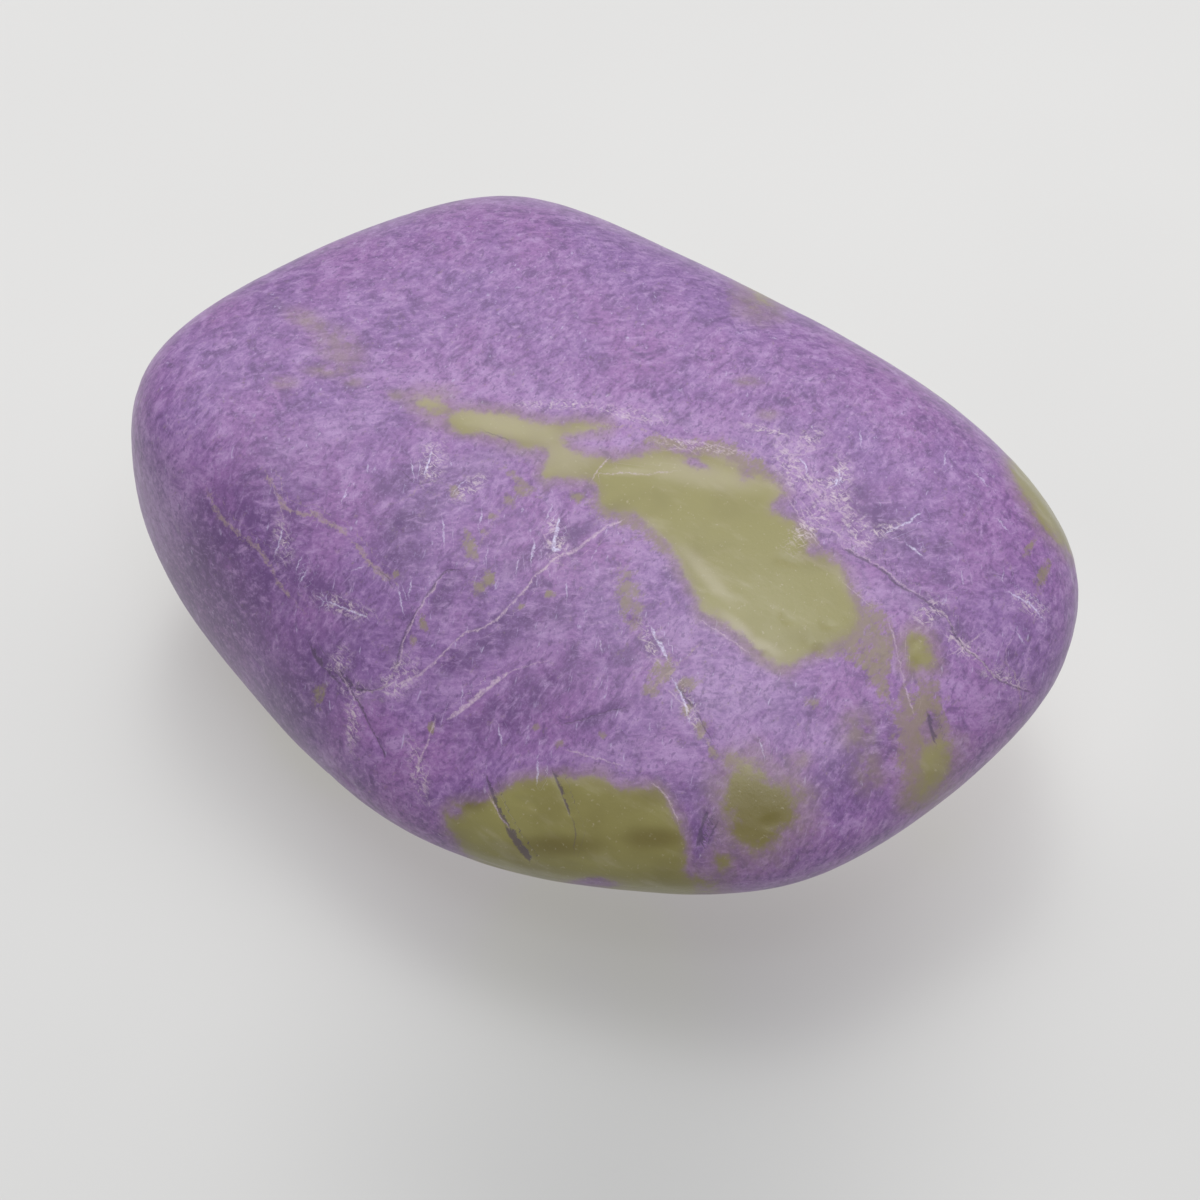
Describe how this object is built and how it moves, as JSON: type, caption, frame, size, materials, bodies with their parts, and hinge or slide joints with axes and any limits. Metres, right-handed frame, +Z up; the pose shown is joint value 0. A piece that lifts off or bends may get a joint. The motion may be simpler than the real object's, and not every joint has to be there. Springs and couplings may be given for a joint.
{
  "type": "tumbled stichtite stone",
  "caption": "Small flattened polished stone in mottled violet with waxy olive patches, tan and cream veins, and a small flat spot it rests on.",
  "frame": {"origin": "middle of the bounding box, on the surface that the stone rests on", "axes": "+Z up out of the resting surface, +X along the stone from its narrow end to its broad end, +Y towards its back"},
  "size_m": [0.0308, 0.0232, 0.0119],
  "materials": {
    "stichtite": "tumbled to a satin polish: fibrous violet stichtite with waxy olive serpentine, tan and cream veins and dark hairline cracks"
  },
  "bodies": {
    "root": {"tumbled_stone": "stichtite"}
  },
  "joints": []
}
